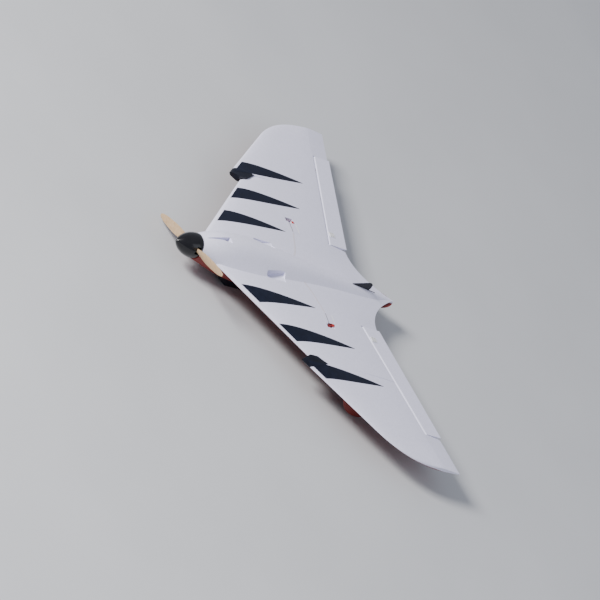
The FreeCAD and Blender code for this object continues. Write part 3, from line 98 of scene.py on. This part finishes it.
def spread_value(mat, factor, low, high, start=0.3, end=0.7):
    made = node(mat, "MapRange")
    made.inputs["From Min"].default_value = start
    made.inputs["From Max"].default_value = end
    made.inputs["To Min"].default_value = low
    made.inputs["To Max"].default_value = high
    feed(mat, factor, made.inputs["Value"])
    return made.outputs["Result"]


def relief(mat, height, depth, strength=0.5):
    bump = node(mat, "Bump")
    bump.inputs["Distance"].default_value = depth
    bump.inputs["Strength"].default_value = strength
    feed(mat, height, bump.inputs["Height"])
    feed(mat, bump.outputs["Normal"], shader(mat).inputs["Normal"])


def finish(name, low, high, roughness, scale=60, stretch=(1, 1, 1), metallic=0.0, coat=0.0,
           depth=0.0, shine=0.5):
    """A plain finish: two near colours mixed by noise, uneven roughness, slight relief."""
    mat = material(name)
    body = shader(mat)
    speck = grain(mat, scale, stretch)
    feed(mat, ramp(mat, speck, (0.35, low), (0.65, high)), body.inputs["Base Color"])
    rough = spread_value(mat, speck, roughness * 0.85, roughness * 1.15)
    feed(mat, rough, body.inputs["Roughness"])
    body.inputs["Metallic"].default_value = metallic
    body.inputs["Coat Weight"].default_value = coat
    body.inputs["Coat Roughness"].default_value = 0.08
    body.inputs["Specular IOR Level"].default_value = shine
    if depth:
        relief(mat, speck, depth)
    return mat


def beads(mat):
    """The mosaic of expanded beads: a value per bead and the distance to its edge."""
    where = node(mat, "TexCoord")
    cell = node(mat, "TexVoronoi", feature="F1")
    edge = node(mat, "TexVoronoi", feature="DISTANCE_TO_EDGE")
    for cells in (cell, edge):
        cells.inputs["Scale"].default_value = BEAD
        feed(mat, where.outputs["Object"], cells.inputs["Vector"])
    tone = node(mat, "SeparateColor")
    feed(mat, cell.outputs["Color"], tone.inputs["Color"])
    return tone.outputs["Red"], edge.outputs["Distance"]


def foam(name, top, under=None, turn=-0.06):
    """Moulded bead foam. With a second colour, faces looking down more than `turn` take it."""
    mat = material(name)
    body = shader(mat)
    tone, edge = beads(mat)
    dull = [tuple(c * BEAD_SHADE for c in paint) for paint in (top, under or top)]
    upper = ramp(mat, tone, (0.0, dull[0]), (1.0, top))
    if under:
        lower = ramp(mat, tone, (0.0, dull[1]), (1.0, under))
        where = node(mat, "TexCoord")
        facing = node(mat, "SeparateXYZ")
        feed(mat, where.outputs["Normal"], facing.inputs["Vector"])
        side = spread_value(mat, facing.outputs["Z"], 0, 1, turn - 0.02, turn + 0.02)
        both = node(mat, "Mix", data_type="RGBA")
        feed(mat, side, both.inputs["Factor"])
        feed(mat, lower, both.inputs[6])
        feed(mat, upper, both.inputs[7])
        upper = both.outputs[2]
    feed(mat, upper, body.inputs["Base Color"])
    feed(mat, spread_value(mat, tone, 0.5, 0.62, 0, 1), body.inputs["Roughness"])
    relief(mat, spread_value(mat, edge, 0, 1, 0.0, 0.05), 0.00012, 0.35)
    return mat


def weave(name):
    """Twill of carbon tows under clear resin."""
    mat = material(name)
    body = shader(mat)
    where = node(mat, "TexCoord")
    twill = node(mat, "TexChecker")
    twill.inputs["Scale"].default_value = 600
    twill.inputs["Color1"].default_value = (0.012, 0.012, 0.014, 1)
    twill.inputs["Color2"].default_value = (0.045, 0.045, 0.05, 1)
    feed(mat, where.outputs["Object"], twill.inputs["Vector"])
    feed(mat, twill.outputs["Color"], body.inputs["Base Color"])
    feed(mat, spread_value(mat, twill.outputs["Fac"], 0.3, 0.45, 0, 1), body.inputs["Roughness"])
    body.inputs["Coat Weight"].default_value = 0.6
    return mat


def plies(name):
    """Birch plywood: veneers stacked in height, with grain along the piece."""
    mat = material(name)
    body = shader(mat)
    where = node(mat, "TexCoord")
    layers = node(mat, "TexWave", wave_type="BANDS", bands_direction="DIAGONAL")
    layers.inputs["Scale"].default_value = 110
    layers.inputs["Distortion"].default_value = 3
    feed(mat, where.outputs["Object"], layers.inputs["Vector"])
    tint = ramp(mat, layers.outputs["Fac"], (0.1, (0.52, 0.36, 0.19)), (0.9, (0.70, 0.54, 0.34)))
    feed(mat, tint, body.inputs["Base Color"])
    feed(mat, spread_value(mat, grain(mat, 90, (1, 6, 1)), 0.55, 0.75), body.inputs["Roughness"])
    return mat


def bands(name, scale, colours, roughness, direction="X"):
    """Stripes of several colours, as of wires laid side by side or of wound turns."""
    mat = material(name)
    body = shader(mat)
    where = node(mat, "TexCoord")
    turns = node(mat, "TexWave", wave_type="BANDS", bands_direction=direction, wave_profile="SAW")
    turns.inputs["Scale"].default_value = scale
    feed(mat, where.outputs["Object"], turns.inputs["Vector"])
    stops = [(i / len(colours), colour) for i, colour in enumerate(colours)]
    feed(mat, ramp(mat, turns.outputs["Fac"], *stops), body.inputs["Base Color"])
    rough = spread_value(mat, grain(mat, 200), roughness * 0.8, roughness * 1.2)
    feed(mat, rough, body.inputs["Roughness"])
    return mat


WHITE = (0.84, 0.83, 1.0)
RED = (0.20, 0.013, 0.009)

FINISHES = {
    "white_foam": foam("white_foam", WHITE, RED),
    "red_foam": foam("red_foam", RED),
    "black_plastic": finish("black_plastic", (0.005, 0.006, 0.012), (0.008, 0.010, 0.019), 0.42,
                            depth=0.00005, shine=0.25),
    "spinner_black": finish("spinner_black", (0.004, 0.004, 0.006), (0.007, 0.007, 0.009), 0.22,
                            coat=0.25, shine=0.35),
    "prop_tan": finish("prop_tan", (0.40, 0.27, 0.15), (0.47, 0.33, 0.20), 0.42, 140, (1, 1, 3),
                       depth=0.00004),
    "white_plastic": finish("white_plastic", (0.78, 0.78, 0.80), (0.86, 0.86, 0.87), 0.35, 120),
    "carbon": weave("carbon"),
    "plywood": plies("plywood"),
    "aluminium": finish("aluminium", (0.60, 0.61, 0.63), (0.74, 0.75, 0.77), 0.32, 300,
                        (1, 12, 1), metallic=1.0),
    "steel": finish("steel", (0.42, 0.42, 0.43), (0.60, 0.60, 0.61), 0.28, 400, (1, 8, 1),
                    metallic=1.0),
    "copper_winding": bands("copper_winding", 500, [(0.50, 0.17, 0.06), (0.75, 0.30, 0.12)],
                            0.3, "Y"),
    "motor_black": finish("motor_black", (0.018, 0.018, 0.020), (0.035, 0.035, 0.040), 0.30,
                          300, (1, 8, 1), metallic=0.6),
    "battery_wrap": finish("battery_wrap", (0.02, 0.05, 0.22), (0.03, 0.08, 0.32), 0.22, 30,
                           coat=0.3),
    "strap_fabric": bands("strap_fabric", 900, [(0.015, 0.015, 0.015), (0.05, 0.05, 0.05)], 0.9,
                          "DIAGONAL"),
    "heat_shrink": finish("heat_shrink", (0.015, 0.015, 0.02), (0.04, 0.04, 0.05), 0.4, 50,
                          depth=0.0001),
    "plug_yellow": finish("plug_yellow", (0.80, 0.55, 0.03), (0.88, 0.63, 0.05), 0.4, 100),
    "wire_red": finish("wire_red", (0.45, 0.015, 0.01), (0.60, 0.03, 0.02), 0.35, 150),
    "lead_tricolour": bands("lead_tricolour", 130,
                            [(0.16, 0.05, 0.02), (0.60, 0.03, 0.02), (0.80, 0.30, 0.03)], 0.4),
    "servo_blue": finish("servo_blue", (0.55, 0.05, 0.04), (0.68, 0.09, 0.07), 0.25, 60, coat=0.3),
}

slots = {row["node"]: row["material_slot"] for row in frame["record"]["subparts"]}
for name, slot in slots.items():
    shown = frame["nodes"][name]
    shown.data.materials.clear()
    shown.data.materials.append(FINISHES[slot])


# ---------------------------------------------------------------- applied markings

def tree_of(name):
    """The skin of a CAD piece, for dropping markings on."""
    return BVHTree.FromObject(frame["nodes"][name], bpy.context.evaluated_depsgraph_get())


SKINS = [tree_of(name) for name in ("fuselage_deck", "wing_panel_left", "wing_panel_right",
                                    "dogtooth_cap_left", "dogtooth_cap_right")]


def drop(x, y):
    """The highest skin under a point, and its normal. Off the skin, the point steps back."""
    for step in range(80):
        start = Vector((x, y + step * MM, SKY_HEIGHT))
        hits = [tree.ray_cast(start, Vector((0, 0, -1))) for tree in SKINS]
        hits = [hit for hit in hits if hit[0] is not None]
        if hits:
            place, normal = max(hits, key=lambda hit: hit[0].z)[:2]
            return place, normal
    raise ValueError(f"no skin behind {x:.3f}, {y:.3f}")


def applied(name, rows, lift, sink, mat):
    """A film over a grid of plan points on the skin."""
    return film(name, [[drop(x, y) for x, y in row] for row in rows], lift, sink, mat)


def film(name, rows, lift, sink, mat):
    """A closed film over a grid of (place, normal): `lift` proud of them, `sink` below."""
    mesh = bmesh.new()
    tops = []
    feet = []
    for row in rows:
        tops.append([mesh.verts.new(place + normal * lift) for place, normal in row])
        feet.append([mesh.verts.new(place - normal * sink) for place, normal in row])
    across = len(rows[0])
    for i in range(len(rows) - 1):
        for j in range(across - 1):
            ring = ((i, j), (i, j + 1), (i + 1, j + 1), (i + 1, j))
            mesh.faces.new([tops[a][b] for a, b in ring])
            mesh.faces.new([feet[a][b] for a, b in reversed(ring)])
    last = len(rows) - 1
    rim = [(0, j) for j in range(across)] + [(i, across - 1) for i in range(1, last + 1)]
    rim += [(last, j) for j in range(across - 2, -1, -1)] + [(i, 0) for i in range(last - 1, 0, -1)]
    for (a, b), (c, d) in zip(rim, rim[1:] + rim[:1]):
        mesh.faces.new((tops[c][d], tops[a][b], feet[a][b], feet[c][d]))
    bmesh.ops.recalc_face_normals(mesh, faces=mesh.faces)
    data = bpy.data.meshes.new(name)
    mesh.to_mesh(data)
    mesh.free()
    made = bpy.data.objects.new(name, data)
    bpy.context.scene.collection.objects.link(made)
    data.materials.append(mat)
    for face in data.polygons:
        face.use_smooth = True
    data.set_sharp_from_angle(angle=math.radians(SHARP_ANGLE))
    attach(made, "airframe")
    return made


# Claw markings, tapering back from the leading edge.  The inboard and the outboard edge start
# at (x, station) with a slope in x over their length, and both run out at the tip (x, station).
CLAWS = {
    "inner": ((81.1, 147.6, 13.0), (118.1, 185.8, -15.0), (98.7, 356.6)),
    "middle": ((161.7, 225.7, 9.0), (197.9, 263.1, -12.0), (182.4, 442.2)),
    "outer": ((244.0, 273.5, 10.0), (280.0, 313.5, -8.5), (265.9, 493.5)),
}
CLAW_ROWS = 90
CLAW_COLUMNS = 18
TIP_WIDTH = 0.5


def edge_point(edge, tip, share):
    """A point along one edge of a claw, in mm: it bends evenly from its first slope to the tip."""
    x, station, slope = edge
    curve = tip[0] - x - slope
    return x + slope * share + curve * share ** 2, station + (tip[1] - station) * share


def claw_rows(inner, outer, tip, side):
    """A grid of plan points over one claw, in metres."""
    rows = []
    for i in range(CLAW_ROWS + 1):
        share = i / CLAW_ROWS
        half = TIP_WIDTH / 2 * share
        inner_x, inner_station = edge_point(inner, tip, share)
        outer_x, outer_station = edge_point(outer, tip, share)
        row = []
        for j in range(CLAW_COLUMNS + 1):
            part = j / CLAW_COLUMNS
            x = (inner_x - half) * (1 - part) + (outer_x + half) * part
            station = inner_station * (1 - part) + outer_station * part
            row.append((side * x * MM, (station + SPINNER_TIP) * MM))
        rows.append(row)
    return rows


def strip_rows(route, width):
    """A grid of plan points along a route given in metres."""
    rows = []
    for i, (x, y) in enumerate(route):
        before = Vector(route[max(i - 1, 0)])
        after = Vector(route[min(i + 1, len(route) - 1)])
        way = (after - before).normalized() * width / 2
        rows.append([(x - way.y, y + way.x), (x, y), (x + way.y, y - way.x)])
    return rows


def along(points, steps, side):
    """Even points along straight runs given as (x, station) in mm, in metres on one side."""
    route = []
    for (x0, s0), (x1, s1) in zip(points, points[1:]):
        for i in range(steps):
            part = i / steps
            station = s0 + (s1 - s0) * part
            route.append((side * (x0 + (x1 - x0) * part) * MM, (station + SPINNER_TIP) * MM))
    route.append((side * points[-1][0] * MM, (points[-1][1] + SPINNER_TIP) * MM))
    return route


POCKET = (102, 146)    # mm, spanwise limits that the servo pocket lies well within
COVER_STEPS = 12


def bridge_rows(inner, outer, front, rear, side):
    """A grid of (place, normal) over the servo pocket, flat from the skin inboard to outboard."""
    rows = []
    for i in range(COVER_STEPS + 1):
        y = (front + (rear - front) * i / COVER_STEPS + SPINNER_TIP) * MM
        near, far = [drop(side * x * MM, y) for x in POCKET]
        row = []
        for j in range(COVER_STEPS + 1):
            x = inner + (outer - inner) * j / COVER_STEPS
            share = (x - POCKET[0]) / (POCKET[1] - POCKET[0])
            row.append((near[0].lerp(far[0], share), near[1].lerp(far[1], share).normalized()))
        rows.append(row)
    return rows


vinyl = finish("vinyl_navy", (0.006, 0.008, 0.018), (0.009, 0.012, 0.026), 0.5, 80,
               depth=0.00003, shine=0.2)
tape = finish("lead_tape", (0.74, 0.70, 0.79), (0.78, 0.74, 0.83), 0.45, 200)
# Painted shade: a near-black film for the shadow along each servo pocket's front edge and for the
# shade in the slot behind the dorsal fin.
painted_shade = finish("shadowed_slot", (0.006, 0.006, 0.010), (0.012, 0.012, 0.016), 0.8, 200, shine=0.1)
signal = finish("servo_label", (0.50, 0.03, 0.02), (0.60, 0.04, 0.03), 0.4, 200)
cover = finish("servo_tape", (0.80, 0.78, 0.94), (0.84, 0.82, 0.97), 0.45, 150, depth=0.00003)
# Painted highlight: a near-white film for the lit rear edge of each servo pocket.
painted_highlight = finish("painted_highlight_strip", (0.93, 0.93, 0.97), (0.95, 0.95, 0.99), 0.3, 150)

# Over each servo: (name, inner x, outer x, front station, rear station, lift, material, slot),
# in mm.  The photo's servo label is red.
SERVO_FILMS = (
    ("servo_cover", 105, 130.5, 375, 407, 0.30, cover, "white_foam"),
    # A painted shadow along the pocket's front edge, not a black plastic part.
    ("servo_front_shadow", 106, 130, 383.6, 384.8, 0.42, painted_shade, "black_plastic"),
    # A painted highlight along the pocket's lit rear edge, not a white plastic part.
    ("servo_rear_highlight", 106, 130, 404, 406.6, 0.42, painted_highlight, "white_plastic"),
    ("servo_end_label", 130.7, 137, 393, 400, 0.35, signal, "servo_blue"),
)

CLAW_LIFT = 0.25 * MM
TAPE_LIFT = 0.1 * MM
SINK = 0.3 * MM
LEAD_TAPE = [(34, 352), (46, 362), (62, 370), (82, 376), (103, 384)]   # (x, station) in mm
LEAD_TAPE_WIDTH = 5 * MM
FIN_SLOT = [(0, 575), (0, 598)]        # (x, station) in mm, behind the dorsal fin
FIN_SLOT_WIDTH = 2.2 * MM

for side_name, side in (("left", 1), ("right", -1)):
    for claw, (inner, outer, tip) in CLAWS.items():
        rows = claw_rows(inner, outer, tip, side)
        applied(f"claw_{claw}_{side_name}", rows, CLAW_LIFT, SINK, vinyl)
    rows = strip_rows(along(LEAD_TAPE, 6, side), LEAD_TAPE_WIDTH)
    applied(f"lead_tape_{side_name}", rows, TAPE_LIFT, SINK, tape)
    for name, inner, outer, front, rear, lift, mat, slot in SERVO_FILMS:
        rows = bridge_rows(inner, outer, front, rear, side)
        film(f"{name}_{side_name}", rows, lift * MM, SINK, mat)

# Painted shade: a near-black film on the skin standing for the shade in the slot behind the dorsal
# fin.
rows = strip_rows(along(FIN_SLOT, 8, 1), FIN_SLOT_WIDTH)
applied("fin_slot_shade", rows, TAPE_LIFT, SINK, painted_shade)


# ---------------------------------------------------------------- stage

def pale_floor():
    data = bpy.data.meshes.new("floor")
    half = 30
    corners = [(-half, -half, 0), (half, -half, 0), (half, half, 0), (-half, half, 0)]
    data.from_pydata(corners, [], [(0, 1, 2, 3)])
    made = bpy.data.objects.new("floor", data)
    bpy.context.scene.collection.objects.link(made)
    data.materials.append(finish("floor", (0.62, 0.63, 0.65), (0.64, 0.65, 0.67), 0.8, 3))
    return made


def soft_light(name, place, size, power, colour=(1, 1, 1)):
    data = bpy.data.lights.new(name, "AREA")
    data.shape = "SQUARE"
    data.size = size
    data.energy = power
    data.color = colour
    made = bpy.data.objects.new(name, data)
    made.location = place
    made.rotation_euler = (-Vector(place)).to_track_quat("-Z", "Y").to_euler()
    bpy.context.scene.collection.objects.link(made)
    return made


soft = [
    soft_light("key", (-1.1, -5.0, 2.9), 1.4, 560, (1.0, 0.985, 0.97)),
    soft_light("fill", (3.5, 1.5, 3.0), 3.0, 30, (0.88, 0.92, 1.0)),
]
pale_floor()

world = bpy.data.worlds.new("studio")
world.use_nodes = True
sky = world.node_tree.nodes["Background"]
sky.inputs["Color"].default_value = (0.84, 0.88, 1.0, 1)
sky.inputs["Strength"].default_value = 0.42
bpy.context.scene.world = world


# ---------------------------------------------------------------- camera

CENTRE = Vector((0, -0.0025, 0.054))
BACK = Vector((0.5100, -0.7148, 0.4786)).normalized()
UP = Vector((-0.8013, -0.1925, 0.5664))
UP = (UP - BACK * UP.dot(BACK)).normalized()
RIGHT = UP.cross(BACK)
DISTANCE = 8.0
LENS = 231.5           # mm, over a 36 mm sensor
AIM_RIGHT = 0.02865    # m, from the centre to the point in the middle of the picture
AIM_DOWN = 0.0586

lens = bpy.data.cameras.new("camera")
lens.sensor_width = 36
lens.lens = LENS
lens.clip_start = 0.1
lens.clip_end = 100
camera = bpy.data.objects.new("camera", lens)
bpy.context.scene.collection.objects.link(camera)
aim = CENTRE + RIGHT * AIM_RIGHT - UP * AIM_DOWN
stand = CENTRE + BACK * DISTANCE
look = (stand - aim).normalized()
across = UP.cross(look).normalized()
turned = Matrix((across, look.cross(across), look)).transposed().to_4x4()
camera.matrix_world = Matrix.Translation(stand) @ turned
bpy.context.scene.camera = camera
